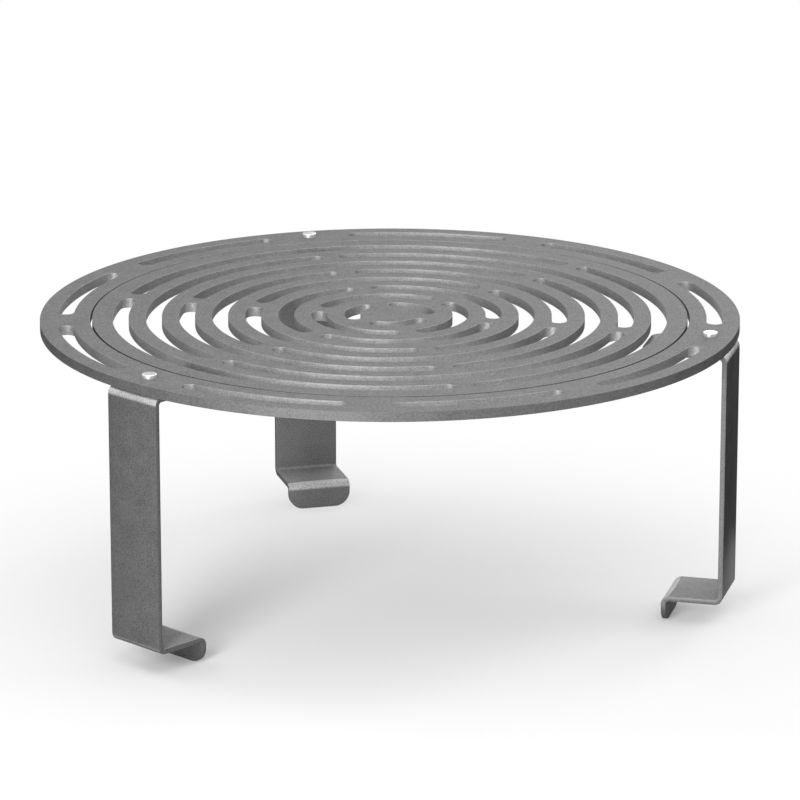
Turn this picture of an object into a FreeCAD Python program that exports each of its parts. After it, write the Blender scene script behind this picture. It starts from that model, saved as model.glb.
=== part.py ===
"""Three-legged slotted plate stand with a lift-out grate.

Millimetres. +Z is up and the ground is z = 0. The axis of the round plates is
the Z axis, the back leg stands on +Y and the other two legs 120 degrees from it.
"""
import FreeCAD
import Part
import math
import os
import Sketcher

Vector = FreeCAD.Vector

# Driving dimensions
SIZES = {
    # Lift-out grate, cut from plate
    "grate_diameter": 366.0,
    "grate_thickness": 6.0,
    "grate_rim": 12.35,          # solid rim outside the first row of slots
    "bar_width": 10.35,          # bar between two rows of slots
    "bridge_width": 10.35,       # bridge between two slots of one row
    "grate_middle": 30.0,        # least diameter of the solid middle
    # Outer ring, cut from plate
    "seat_clearance": 1.3,       # radial gap between grate and ring
    "ring_width": 30.7,          # bore to outer edge, which makes the stand 430 across
    "ring_thickness": 6.0,
    "ring_slot_span": 30.0,      # degrees from end to end of one slot
    "ring_slot_step": 37.5,      # degrees from one slot to the next between two legs
    # Slots of both plates, with full round ends
    "slot_width": 10.0,
    # Legs, bent from flat strip
    "stand_height": 178.4,       # ground to the top face of the ring
    "leg_width": 41.2,
    "leg_thickness": 3.0,
    "bend_radius": 2.0,          # inside radius of every bend
    "tab_reach": 21.5,           # how far the tab reaches in under the grate
    "tab_corner": 9.0,
    "foot_length": 38.2,         # outer face of the leg to the far face of its lip
    "foot_lift": 14.0,           # ground to the underside of the foot plate
    "lip_corner": 10.0,
    # Low round-head bolts with washers and nuts
    "bolt_inset": 14.4,          # outer edge of the ring to the bolt's axis
    "bolt_diameter": 5.0,
    "bolt_end": 2.0,             # how far the bolt stands out of its nut
    "bolt_end_chamfer": 0.6,
    "head_diameter": 9.0,
    "head_height": 2.4,
    "head_edge": 0.4,            # chamfer of the head's top edge
    "hole_clearance": 0.25,      # radial, bolt in ring, leg and washer
    "thread_clearance": 0.05,    # radial, bolt in nut
    "washer_diameter": 10.0,
    "washer_thickness": 1.0,
    "nut_width": 8.0,            # across flats
    "nut_height": 4.0,
    "nut_chamfer": 0.35,         # from the flats in to the rim of the nut's turned face
}

LEG_SIDES = ("back", "front_left", "right")
BACK_AZIMUTH = 90                # degrees from +X to the back leg
SECTOR = 360 / len(LEG_SIDES)    # degrees from one leg to the next
NUT_CHAMFER_SLOPE = math.tan(math.radians(30))
WIDTH_SHARE = 0.49               # most of a strip's width that one rounded corner may take
LIP_SHARE = 0.95                 # most of the lip's flat height that its corners may take
TOLERANCE = 1e-6

# Places that several pieces share, each written once from the driving dimensions
GRATE_RADIUS = "Sizes.grate_diameter / 2"
BORE_RADIUS = f"({GRATE_RADIUS} + Sizes.seat_clearance)"
RING_RADIUS = f"({BORE_RADIUS} + Sizes.ring_width)"
RING_MIDDLE = f"({BORE_RADIUS} + Sizes.ring_width / 2)"
BOLT_RADIUS = f"({RING_RADIUS} - Sizes.bolt_inset)"
SEAT_HEIGHT = "(Sizes.stand_height - Sizes.ring_thickness)"
FLANGE_UNDERSIDE = f"({SEAT_HEIGHT} - Sizes.leg_thickness)"
WASHER_UNDERSIDE = f"({FLANGE_UNDERSIDE} - Sizes.washer_thickness)"
NUT_UNDERSIDE = f"({WASHER_UNDERSIDE} - Sizes.nut_height)"
BOLT_LENGTH = f"(Sizes.stand_height - {NUT_UNDERSIDE} + Sizes.bolt_end)"
HOLE_RADIUS = "(Sizes.bolt_diameter / 2 + Sizes.hole_clearance)"

document = FreeCAD.newDocument("plate_stand")
sheet = document.addObject("Spreadsheet::Sheet", "Sizes")
for row, (alias, size) in enumerate(SIZES.items(), start=1):
    sheet.set(f"A{row}", alias)
    sheet.set(f"B{row}", str(size))
    sheet.setAlias(f"B{row}", alias)
document.recompute()


def number(expression):
    """Value of an expression on the driving dimensions."""
    result = sheet.evalExpression(str(expression))
    return float(getattr(result, "Value", result))


def polar(radius, degrees):
    """Point at a radius and an angle from +X."""
    angle = math.radians(degrees)
    return Vector(radius * math.cos(angle), radius * math.sin(angle), 0)


def heading(point):
    """Angle of a point from +X, in radians."""
    return math.atan2(point.y, point.x)


def new_body(label):
    """Empty body whose label names its file."""
    body = document.addObject("PartDesign::Body", "Body_" + label)
    body.Label = label
    return body


def place(body, x="0", y="0", z="0", turn=0):
    """Put a body at a place written on the driving dimensions, turned about +Z."""
    body.Placement = FreeCAD.Placement(Vector(), FreeCAD.Rotation(Vector(0, 0, 1), turn))
    for axis, expression in (("x", x), ("y", y), ("z", z)):
        body.setExpression(f"Placement.Base.{axis}", expression)


def new_sketch(body, name, plane="XY_Plane", height="0"):
    """Sketch on one of the body's origin planes, raised by a height."""
    sketch = body.newObject("Sketcher::SketchObject", name)
    origin_plane = next(feature for feature in body.Origin.OriginFeatures if feature.Role == plane)
    sketch.AttachmentSupport = [(origin_plane, "")]
    sketch.MapMode = "FlatFace"
    sketch.setExpression("AttachmentOffset.Base.z", height)
    return sketch


def tie(sketch, kind, *arguments, size):
    """Add a constraint and tie its value to an expression."""
    value = number(size)
    if kind == "Angle":
        value = math.radians(value)
    index = sketch.addConstraint(Sketcher.Constraint(kind, *arguments, value))
    name = f"{kind.lower()}_{index}"
    sketch.renameConstraint(index, name)
    sketch.setExpression("Constraints." + name, size)


def join(sketch, *pairs):
    """Make pairs of ends meet in a smooth line, each end as (geometry, point)."""
    for first, second in pairs:
        sketch.addConstraint(Sketcher.Constraint("Tangent", *first, *second))


def circle(sketch, radius, x="0"):
    """Circle centred on the sketch's X axis."""
    centre = Vector(number(x), 0, 0)
    index = sketch.addGeometry(Part.Circle(centre, Vector(0, 0, 1), number(radius)))
    tie(sketch, "Radius", index, size=radius)
    if number(x) == 0:
        sketch.addConstraint(Sketcher.Constraint("Coincident", index, 3, -1, 1))
    else:
        sketch.addConstraint(Sketcher.Constraint("PointOnObject", index, 3, -1))
        tie(sketch, "DistanceX", -1, 1, index, 3, size=x)
    return index


def hexagon(sketch, width):
    """Regular hexagon about the origin, with its width across flats."""
    corner_radius = number(width) / math.sqrt(3)
    corners = [polar(corner_radius, 60 * step) for step in range(6)]
    sides = [
        sketch.addGeometry(Part.LineSegment(corners[step], corners[(step + 1) % 6]))
        for step in range(6)
    ]
    rim = sketch.addGeometry(Part.Circle(Vector(), Vector(0, 0, 1), corner_radius), True)
    sketch.addConstraint(Sketcher.Constraint("Coincident", rim, 3, -1, 1))
    tie(sketch, "Radius", rim, size=f"{width} / sqrt(3)")
    for step, side in enumerate(sides):
        sketch.addConstraint(Sketcher.Constraint("Coincident", side, 2, sides[(step + 1) % 6], 1))
        sketch.addConstraint(Sketcher.Constraint("PointOnObject", side, 1, rim))
        if step:
            sketch.addConstraint(Sketcher.Constraint("Equal", sides[0], side))
    sketch.addConstraint(Sketcher.Constraint("PointOnObject", sides[0], 1, -1))


def arc(centre, radius, start, end):
    """Arc that runs anticlockwise from one heading to another, in radians."""
    return Part.ArcOfCircle(Part.Circle(centre, Vector(0, 0, 1), radius), start, end)


def curved_slot(sketch, inner, outer, first, last, margin):
    """Slot along a circle about the origin, with full round ends.

    inner and outer are the radii of its long walls. Each end touches a line that
    runs beside the spoke at the angle first or last, the margin away from it.
    """
    inside, outside = number(inner), number(outer)
    middle = f"(({inner} + {outer}) / 2)"
    rounding = (outside - inside) / 2
    step_in = f"asin(({margin} + ({outer} - ({inner})) / 2) / {middle})"
    headings = [f"({first}) * 1 deg + {step_in}", f"({last}) * 1 deg - {step_in}"]
    centres = [polar(number(middle), number(expression)) for expression in headings]
    start, end = (heading(centre) for centre in centres)

    outer_wall = sketch.addGeometry(arc(Vector(), outside, start, end))
    inner_wall = sketch.addGeometry(arc(Vector(), inside, start, end))
    first_end = sketch.addGeometry(arc(centres[0], rounding, start + math.pi, start))
    last_end = sketch.addGeometry(arc(centres[1], rounding, end, end + math.pi))
    join(sketch,
         ((outer_wall, 1), (first_end, 2)), ((outer_wall, 2), (last_end, 1)),
         ((inner_wall, 1), (first_end, 1)), ((inner_wall, 2), (last_end, 2)))
    for wall, radius in ((outer_wall, outer), (inner_wall, inner)):
        sketch.addConstraint(Sketcher.Constraint("Coincident", wall, 3, -1, 1))
        tie(sketch, "Radius", wall, size=radius)
    for cap, centre, expression in zip((first_end, last_end), centres, headings):
        spoke = sketch.addGeometry(Part.LineSegment(Vector(), centre), True)
        sketch.addConstraint(Sketcher.Constraint("Coincident", spoke, 1, -1, 1))
        sketch.addConstraint(Sketcher.Constraint("Coincident", spoke, 2, cap, 3))
        tie(sketch, "Angle", spoke, size=expression)


def bent_outline(sketch, walls, bends):
    """Closed outline of straight walls at right angles, with round bends.

    walls are level or upright lines in turn, each given by its distance from
    the origin. bends holds the radius between each wall and the next, or None.
    """
    count = len(walls)
    points = []
    for step in range(count):
        pair = (walls[step], walls[(step + 1) % count])
        upright = next(distance for kind, distance in pair if kind == "upright")
        level = next(distance for kind, distance in pair if kind == "level")
        points.append(Vector(number(upright), number(level), 0))
    runs = [(points[step] - points[step - 1]).normalize() for step in range(count)]
    radii = [number(bend) if bend else 0.0 for bend in bends]
    lines = []
    for step in range(count):
        start = points[step - 1] + runs[step] * radii[step - 1]
        end = points[step] - runs[step] * radii[step]
        lines.append(sketch.addGeometry(Part.LineSegment(start, end)))
    for step, (kind, distance) in enumerate(walls):
        line = lines[step]
        following = lines[(step + 1) % count]
        sketch.addConstraint(
            Sketcher.Constraint("Horizontal" if kind == "level" else "Vertical", line))
        if abs(number(distance)) < TOLERANCE:
            sketch.addConstraint(Sketcher.Constraint("PointOnObject", line, 1, -1))
        else:
            tie(sketch, "DistanceY" if kind == "level" else "DistanceX", -1, 1, line, 1, size=distance)
        if not bends[step]:
            sketch.addConstraint(Sketcher.Constraint("Coincident", line, 2, following, 1))
            continue
        run_in, run_out = runs[step], runs[(step + 1) % count]
        centre = points[step] + (run_out - run_in) * radii[step]
        headings = [heading(run_out * -1), heading(run_in)]
        anticlockwise = run_in.cross(run_out).z > 0
        if not anticlockwise:
            headings.reverse()
        bend = sketch.addGeometry(arc(centre, radii[step], *headings))
        enter, leave = (1, 2) if anticlockwise else (2, 1)
        join(sketch, ((line, 2), (bend, enter)), ((following, 1), (bend, leave)))
        tie(sketch, "Radius", bend, size=bends[step])


def pad(body, sketch, length, midplane=False, reverse=False):
    """Raise a sketch into a solid."""
    feature = body.newObject("PartDesign::Pad", sketch.Name + "_pad")
    feature.Profile = sketch
    feature.setExpression("Length", length)
    feature.Midplane = midplane
    feature.Reversed = reverse
    document.recompute()
    return feature


def pocket(body, sketch, depth):
    """Sink a sketch into the body along its own back, and see that it cuts."""
    before = body.Shape.Volume
    feature = body.newObject("PartDesign::Pocket", sketch.Name + "_pocket")
    feature.Profile = sketch
    feature.setExpression("Length", depth)
    document.recompute()
    if body.Shape.Volume > before - TOLERANCE:
        raise ValueError(f"{feature.Name} cuts nothing")
    return feature


def around(body, features, count):
    """Repeat features about the body's Z axis, and check that the copies count."""
    before = body.Shape.Volume
    pattern = body.newObject("PartDesign::PolarPattern", features[0].Name + "_pattern")
    pattern.Originals = features
    z_axis = next(feature for feature in body.Origin.OriginFeatures if feature.Role == "Z_Axis")
    pattern.Axis = (z_axis, [""])
    pattern.Angle = 360
    pattern.Occurrences = count
    body.Tip = pattern
    document.recompute()
    if abs(body.Shape.Volume - before) < TOLERANCE:
        raise ValueError(f"{pattern.Name} adds nothing")


def round_edges(body, name, radius, wanted):
    """Round the edges that a test picks out."""
    base = body.Tip
    edges = [f"Edge{step}" for step, edge in enumerate(base.Shape.Edges, 1) if wanted(edge)]
    feature = body.newObject("PartDesign::Fillet", name)
    feature.Base = (base, edges)
    feature.setExpression("Radius", radius)
    document.recompute()


def chamfer_edges(body, name, size, wanted):
    """Chamfer the edges that a test picks out."""
    base = body.Tip
    edges = [f"Edge{step}" for step, edge in enumerate(base.Shape.Edges, 1) if wanted(edge)]
    feature = body.newObject("PartDesign::Chamfer", name)
    feature.Base = (base, edges)
    feature.setExpression("Size", size)
    document.recompute()


def is_circle_at(radius, height):
    """Test for a full round edge of a radius at a height."""
    def wanted(edge):
        curve = edge.Curve
        return (isinstance(curve, Part.Circle)
                and abs(curve.Radius - radius) < TOLERANCE
                and abs(curve.Center.z - height) < TOLERANCE)
    return wanted


def runs_along(edge, direction):
    """Whether a straight edge lies along a direction."""
    if not isinstance(edge.Curve, Part.Line):
        return False
    run = edge.Vertexes[1].Point - edge.Vertexes[0].Point
    return run.cross(direction).Length < TOLERANCE


def make_outer_ring():
    """Flat ring with three long slots between each two legs and a hole over each leg."""
    body = new_body("outer_ring")
    outline = new_sketch(body, "ring_outline")
    circle(outline, RING_RADIUS)
    circle(outline, BORE_RADIUS)
    pad(body, outline, "Sizes.ring_thickness")

    cuts = []
    middle = BACK_AZIMUTH + SECTOR / 2
    for step in (-1, 0, 1):
        slot = new_sketch(body, f"ring_slot_{step + 2}", height="Sizes.ring_thickness")
        centre = f"{middle} + {step} * Sizes.ring_slot_step"
        curved_slot(
            slot,
            inner=f"{RING_MIDDLE} - Sizes.slot_width / 2",
            outer=f"{RING_MIDDLE} + Sizes.slot_width / 2",
            first=f"{centre} - Sizes.ring_slot_span / 2",
            last=f"{centre} + Sizes.ring_slot_span / 2",
            margin="0")
        cuts.append(pocket(body, slot, "Sizes.ring_thickness"))
    around(body, cuts, len(LEG_SIDES))

    hole = new_sketch(body, "ring_bolt_hole", height="Sizes.ring_thickness")
    hole.AttachmentOffset = FreeCAD.Placement(
        hole.AttachmentOffset.Base, FreeCAD.Rotation(Vector(0, 0, 1), BACK_AZIMUTH))
    circle(hole, HOLE_RADIUS, x=BOLT_RADIUS)
    around(body, [pocket(body, hole, "Sizes.ring_thickness")], len(LEG_SIDES))
    place(body, z=SEAT_HEIGHT)
    return body


def make_centre_grate():
    """Round plate with rows of curved slots, whose bridges step over in every other row."""
    body = new_body("centre_grate")
    outline = new_sketch(body, "grate_outline")
    circle(outline, GRATE_RADIUS)
    pad(body, outline, "Sizes.grate_thickness")

    row_step = "(Sizes.slot_width + Sizes.bar_width)"
    slotted = f"({GRATE_RADIUS} - Sizes.grate_rim + Sizes.bar_width - Sizes.grate_middle / 2)"
    rows = math.floor(number(f"{slotted} / {row_step}"))
    cuts = []
    for row in range(rows):
        slot = new_sketch(body, f"grate_slot_row_{row + 1}", height="Sizes.grate_thickness")
        middle = BACK_AZIMUTH + (SECTOR / 2 if row % 2 else 0)
        outer = f"{GRATE_RADIUS} - Sizes.grate_rim - {row} * {row_step}"
        curved_slot(
            slot,
            inner=f"{outer} - Sizes.slot_width",
            outer=outer,
            first=f"{middle - SECTOR / 2}",
            last=f"{middle + SECTOR / 2}",
            margin="Sizes.bridge_width / 2")
        cuts.append(pocket(body, slot, "Sizes.grate_thickness"))
    around(body, cuts, len(LEG_SIDES))
    place(body, z=SEAT_HEIGHT)
    return body


def make_leg(side, azimuth):
    """Bent strip: tab and flange under the ring, upright, foot plate and lip.

    It is drawn standing on +X, from the side, and then turned to its azimuth.
    """
    body = new_body("leg_" + side)
    profile = new_sketch(body, f"leg_profile_{side}", plane="XZ_Plane")
    thickness = "Sizes.leg_thickness"
    inside_bend = "Sizes.bend_radius"
    outside_bend = "(Sizes.bend_radius + Sizes.leg_thickness)"
    lip_face = f"({RING_RADIUS} - Sizes.foot_length)"
    tab_end = f"({GRATE_RADIUS} - Sizes.tab_reach)"
    walls = [
        ("level", SEAT_HEIGHT),
        ("upright", RING_RADIUS),
        ("level", "Sizes.foot_lift"),
        ("upright", f"{lip_face} + {thickness}"),
        ("level", "0"),
        ("upright", lip_face),
        ("level", f"Sizes.foot_lift + {thickness}"),
        ("upright", f"{RING_RADIUS} - {thickness}"),
        ("level", FLANGE_UNDERSIDE),
        ("upright", tab_end),
    ]
    bends = [outside_bend, outside_bend, inside_bend, None, None,
             outside_bend, inside_bend, inside_bend, None, None]
    bent_outline(profile, walls, bends)
    pad(body, profile, "Sizes.leg_width", midplane=True)

    tab_edge = number(tab_end)
    widest_corner = f"Sizes.leg_width * {WIDTH_SHARE}"
    round_edges(
        body, "tab_corners_" + side, f"min(Sizes.tab_corner; {widest_corner})",
        lambda edge: runs_along(edge, Vector(0, 0, 1)) and abs(edge.CenterOfMass.x - tab_edge) < TOLERANCE)
    lip_flat = f"(Sizes.foot_lift - {inside_bend})"
    round_edges(
        body, "lip_corners_" + side,
        f"min(Sizes.lip_corner; {lip_flat} * {LIP_SHARE}; {widest_corner})",
        lambda edge: runs_along(edge, Vector(1, 0, 0)) and abs(edge.CenterOfMass.z) < TOLERANCE)

    hole = new_sketch(body, "flange_hole_" + side, height=SEAT_HEIGHT)
    circle(hole, HOLE_RADIUS, x=BOLT_RADIUS)
    pocket(body, hole, thickness)
    place(body, turn=azimuth)
    return body


def place_on_bolt_circle(body, azimuth, height):
    """Put a fastener on its leg's bolt axis."""
    place(body,
          x=f"{BOLT_RADIUS} * cos({azimuth})",
          y=f"{BOLT_RADIUS} * sin({azimuth})",
          z=height,
          turn=azimuth)


def make_bolt(side, azimuth):
    """Low round-head bolt, its head's underside at z = 0."""
    body = new_body("bolt_" + side)
    shank = new_sketch(body, "bolt_shank_" + side)
    circle(shank, "Sizes.bolt_diameter / 2")
    pad(body, shank, BOLT_LENGTH, reverse=True)
    head = new_sketch(body, "bolt_head_" + side)
    circle(head, "Sizes.head_diameter / 2")
    pad(body, head, "Sizes.head_height")
    chamfer_edges(
        body, "head_edge_" + side, "Sizes.head_edge",
        is_circle_at(number("Sizes.head_diameter / 2"), number("Sizes.head_height")))
    chamfer_edges(
        body, "bolt_end_" + side, "Sizes.bolt_end_chamfer",
        is_circle_at(number("Sizes.bolt_diameter / 2"), -number(BOLT_LENGTH)))
    place_on_bolt_circle(body, azimuth, "Sizes.stand_height")
    return body


def make_washer(side, azimuth):
    """Plain washer under the flange."""
    body = new_body("washer_" + side)
    outline = new_sketch(body, "washer_outline_" + side)
    circle(outline, "Sizes.washer_diameter / 2")
    circle(outline, HOLE_RADIUS)
    pad(body, outline, "Sizes.washer_thickness")
    place_on_bolt_circle(body, azimuth, WASHER_UNDERSIDE)
    return body


def make_nut(side, azimuth):
    """Hexagon nut whose open end is turned down at the corners."""
    body = new_body("nut_" + side)
    outline = new_sketch(body, "nut_outline_" + side)
    hexagon(outline, "Sizes.nut_width")
    circle(outline, "Sizes.bolt_diameter / 2 + Sizes.thread_clearance")
    pad(body, outline, "Sizes.nut_height")

    rim_radius = "Sizes.nut_width / 2 - Sizes.nut_chamfer"
    rim = Vector(number(rim_radius), 0, 0)
    across = Vector(number("Sizes.nut_width"), 0, 0)
    rise = Vector(0, number(f"Sizes.nut_width * {NUT_CHAMFER_SLOPE}"), 0)
    corners = [rim, rim + across, rim + across + rise]
    wedge = new_sketch(body, "nut_wedge_" + side, plane="XZ_Plane")
    for step, corner in enumerate(corners):
        wedge.addGeometry(Part.LineSegment(corner, corners[(step + 1) % 3]))
    for step in range(3):
        wedge.addConstraint(Sketcher.Constraint("Coincident", step, 2, (step + 1) % 3, 1))
    wedge.addConstraint(Sketcher.Constraint("Horizontal", 0))
    wedge.addConstraint(Sketcher.Constraint("Vertical", 1))
    wedge.addConstraint(Sketcher.Constraint("PointOnObject", 0, 1, -1))
    tie(wedge, "DistanceX", -1, 1, 0, 1, size=rim_radius)
    tie(wedge, "Distance", 0, size="Sizes.nut_width")
    tie(wedge, "Distance", 1, size=f"Sizes.nut_width * {NUT_CHAMFER_SLOPE}")
    before = body.Shape.Volume
    groove = body.newObject("PartDesign::Groove", "nut_turning_" + side)
    groove.Profile = wedge
    groove.ReferenceAxis = (wedge, ["V_Axis"])
    groove.Angle = 360
    document.recompute()
    if body.Shape.Volume > before - TOLERANCE:
        raise ValueError("the nut's corners are not turned")
    place_on_bolt_circle(body, azimuth, NUT_UNDERSIDE)
    return body


pieces = [make_outer_ring(), make_centre_grate()]
for leg_step, leg_side in enumerate(LEG_SIDES):
    leg_azimuth = BACK_AZIMUTH + leg_step * SECTOR
    for make_piece in (make_leg, make_bolt, make_washer, make_nut):
        pieces.append(make_piece(leg_side, leg_azimuth))
document.recompute()

for item in document.Objects:
    if "Invalid" in item.State or "Error" in item.State:
        raise ValueError(f"{item.Name} failed: {item.State}")
for piece in pieces:
    shape = piece.Shape
    if shape.isNull() or not shape.isValid() or len(shape.Solids) != 1:
        raise ValueError(f"{piece.Label} is not one valid solid")

os.makedirs("parts", exist_ok=True)
for piece in pieces:
    piece.Shape.exportStep(f"parts/{piece.Label}.step")
    box = piece.Shape.BoundBox
    print(f"{piece.Label}: {piece.Shape.Volume:.1f} mm3, "
          f"x {box.XMin:.2f} to {box.XMax:.2f}, y {box.YMin:.2f} to {box.YMax:.2f}, "
          f"z {box.ZMin:.2f} to {box.ZMax:.2f}")
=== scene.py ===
"""Three-legged slotted stand: its looks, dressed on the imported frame.

Metres. +Z is up, the ground is z = 0 and the plates' axis is the Z axis. The back
leg stands on +Y. A size that the frame shows is read from it, and the others are
fields of the class that uses them.
"""
import logging
import math
from dataclasses import dataclass
from enum import Enum
from functools import partial
from typing import Callable, Mapping, Sequence

import bmesh
import bpy
from mathutils import Matrix, Vector


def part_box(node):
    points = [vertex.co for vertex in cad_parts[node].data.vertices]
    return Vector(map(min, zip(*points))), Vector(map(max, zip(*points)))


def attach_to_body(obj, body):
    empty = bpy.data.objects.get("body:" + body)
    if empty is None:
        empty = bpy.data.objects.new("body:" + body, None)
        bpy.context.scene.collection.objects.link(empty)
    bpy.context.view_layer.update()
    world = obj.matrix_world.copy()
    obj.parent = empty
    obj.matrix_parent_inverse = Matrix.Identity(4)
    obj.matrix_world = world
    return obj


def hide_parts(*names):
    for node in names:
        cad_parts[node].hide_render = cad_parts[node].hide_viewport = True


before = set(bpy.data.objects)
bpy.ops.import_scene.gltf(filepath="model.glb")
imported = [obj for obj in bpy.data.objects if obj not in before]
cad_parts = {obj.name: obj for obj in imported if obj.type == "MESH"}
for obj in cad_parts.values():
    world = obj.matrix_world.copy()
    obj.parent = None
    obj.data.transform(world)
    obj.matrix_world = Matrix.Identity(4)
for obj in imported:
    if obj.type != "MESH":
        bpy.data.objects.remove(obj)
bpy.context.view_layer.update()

log = logging.getLogger("stand")

MM = 0.001
TURN = 2 * math.pi
QUARTER = math.pi / 2
UP = Vector((0, 0, 1))

GEOMETRY = "NodeSocketGeometry"
FLOAT = "NodeSocketFloat"
INTEGER = "NodeSocketInt"
MATERIAL = "NodeSocketMaterial"
VECTOR = "NodeSocketVector"
COLOR = "NodeSocketColor"
SOCKET_OF = {float: FLOAT, int: INTEGER}


class Body(Enum):
    """The frame's moving bodies."""

    STAND = "stand"
    GRATE = "grate"


class Slot(Enum):
    """The record's material slots."""

    PLATE = "plate_steel"
    STRIP = "strip_steel"
    FASTENER = "fastener_steel"


class Leg(Enum):
    """The three legs and the direction in which each stands, in degrees from +X."""

    BACK = ("back", 90.0)
    FRONT_LEFT = ("front_left", 210.0)
    RIGHT = ("right", 330.0)

    @property
    def side(self) -> str:
        """The leg's word in the names of its nodes."""
        return self.value[0]

    @property
    def azimuth(self) -> float:
        """The leg's direction in radians from +X."""
        return math.radians(self.value[1])


SECTOR = TURN / len(Leg)
FIRST_LEG = Leg.BACK.azimuth


@dataclass(frozen=True)
class Value:
    """What one socket of a node tree holds, with arithmetic that adds Math nodes.

    Attributes:
        graph: The graph that the socket is in.
        socket: The output socket.
    """

    graph: "Graph"
    socket: bpy.types.NodeSocket

    def __add__(self, other: "Value | float") -> "Value":
        """Sum of two numbers."""
        return self.graph.math("ADD", self, other)

    def __sub__(self, other: "Value | float") -> "Value":
        """Difference of two numbers."""
        return self.graph.math("SUBTRACT", self, other)

    def __mul__(self, other: "Value | float") -> "Value":
        """Product of two numbers."""
        return self.graph.math("MULTIPLY", self, other)

    def __truediv__(self, other: "Value | float") -> "Value":
        """Ratio of two numbers."""
        return self.graph.math("DIVIDE", self, other)


Number = Value | float


class Graph:
    """Writes one node tree: adds nodes, joins their sockets and does arithmetic."""

    def __init__(self, tree: bpy.types.NodeTree) -> None:
        """Start on a tree."""
        self.tree = tree

    @classmethod
    def cleared(cls, owner: bpy.types.Material | bpy.types.World) -> "Graph":
        """Empty the nodes of a material or world and start on them.

        Args:
            owner: The material or world.

        Returns:
            The graph of its own nodes.
        """
        owner.use_nodes = True
        owner.node_tree.nodes.clear()
        return cls(owner.node_tree)

    @classmethod
    def group(cls, name: str, kind: str, inputs: Mapping[str, object],
              outputs: Mapping[str, str]) -> "Graph":
        """Make a node group with named sockets.

        Args:
            name: The group's name.
            kind: "GeometryNodeTree" or "ShaderNodeTree".
            inputs: By name, each input's default, or its socket's type if it has no default.
            outputs: By name, each output's socket type.

        Returns:
            The graph of the new group.
        """
        tree = bpy.data.node_groups.new(name, kind)
        for label, given in inputs.items():
            has_default = not isinstance(given, str)
            socket_type = SOCKET_OF[type(given)] if has_default else given
            socket = tree.interface.new_socket(label, in_out="INPUT", socket_type=socket_type)
            if has_default:
                socket.default_value = given
        for label, socket_type in outputs.items():
            tree.interface.new_socket(label, in_out="OUTPUT", socket_type=socket_type)
        graph = cls(tree)
        graph.entry = graph.add("NodeGroupInput")
        graph.exit = graph.add("NodeGroupOutput")
        return graph

    def given(self, label: str) -> Value:
        """One of the group's inputs, by name."""
        return Value(self, self.entry.outputs[label])

    def give(self, label: str, value: Value) -> None:
        """Send a value out of the group, by the output's name."""
        self.tree.links.new(value.socket, self.exit.inputs[label])

    def add(self, kind: str, feeds: Mapping[str | int, object] | None = None,
            **settings: object) -> bpy.types.Node:
        """Add a node.

        Args:
            kind: The node's type.
            feeds: Value of each input, keyed by the socket's name or place.
            settings: The node's own properties.

        Returns:
            The new node.
        """
        node = self.tree.nodes.new(kind)
        for label, setting in settings.items():
            setattr(node, label, setting)
        for key, value in (feeds or {}).items():
            self.feed(node.inputs[key], value)
        return node

    def feed(self, socket: bpy.types.NodeSocket, value: object) -> None:
        """Link a value to an input, or set the input to a plain value.

        Args:
            socket: The input.
            value: A Value, an output socket or a plain value.
        """
        if isinstance(value, Value):
            value = value.socket
        if isinstance(value, bpy.types.NodeSocket):
            self.tree.links.new(value, socket)
        else:
            socket.default_value = value

    def out(self, kind: str, feeds: Mapping[str | int, object] | None = None,
            output: str | int = 0, **settings: object) -> Value:
        """Add a node, fed and set as for add, and take one of its outputs."""
        return Value(self, self.add(kind, feeds, **settings).outputs[output])

    def sunk(self, group: bpy.types.NodeTree, feeds: Mapping[str, object], output: str) -> Value:
        """Use another group as a node, and take one of its outputs."""
        kind = group.bl_idname.replace("Tree", "Group")
        return self.out(kind, feeds, output, node_tree=group)

    def math(self, operation: str, *terms: Number) -> Value:
        """Add a Math node on one or two numbers."""
        return self.out("ShaderNodeMath", dict(enumerate(terms)), operation=operation)

    def vector_math(self, operation: str, *terms: object, output: str | int = 0) -> Value:
        """Add a Vector Math node on vectors."""
        return self.out("ShaderNodeVectorMath", dict(enumerate(terms)), output,
                        operation=operation)

    def vector(self, x: Number = 0.0, y: Number = 0.0, z: Number = 0.0) -> Value:
        """Vector of three numbers."""
        return self.out("ShaderNodeCombineXYZ", {"X": x, "Y": y, "Z": z})

    def polar(self, radius: Number, angle: Value) -> Value:
        """Point in the ground plane at a radius and an angle from +X."""
        return self.vector(self.math("COSINE", angle) * radius, self.math("SINE", angle) * radius)

    def scaled(self, vector: Value, factor: Number) -> Value:
        """A vector times a number."""
        return self.out("ShaderNodeVectorMath", {0: vector, "Scale": factor}, operation="SCALE")

    def from_axis(self, place: Value) -> Value:
        """Distance of a point from the Z axis."""
        flat = self.vector_math("MULTIPLY", place, (1.0, 1.0, 0.0))
        return self.vector_math("LENGTH", flat, output="Value")

    def noise(self, place: Value, size: Value, detail: float, roughness: float) -> Value:
        """Noise with patches of a size in metres."""
        scale = self.math("DIVIDE", 1.0, size)
        return self.out("ShaderNodeTexNoise", {"Vector": place, "Scale": scale, "Detail": detail,
                                               "Roughness": roughness})

    def join(self, parts: Sequence[Value]) -> Value:
        """Join several geometries.

        Args:
            parts: The geometries.

        Returns:
            All of them as one.
        """
        node = self.add("GeometryNodeJoinGeometry")
        for part in parts:
            self.tree.links.new(part.socket, node.inputs[0])
        return Value(self, node.outputs[0])

    def moved(self, geometry: Value, offset: Value) -> Value:
        """Move a whole geometry."""
        return self.out("GeometryNodeTransform", {"Geometry": geometry, "Translation": offset})

    def turned(self, geometry: Value, angle: Value) -> Value:
        """Turn a geometry about the Z axis by an angle, which may differ from point to point."""
        place = self.out("ShaderNodeVectorRotate", rotation_type="Z_AXIS",
                         feeds={"Vector": self.out("GeometryNodeInputPosition"), "Angle": angle})
        return self.out("GeometryNodeSetPosition", {"Geometry": geometry, "Position": place})

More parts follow.
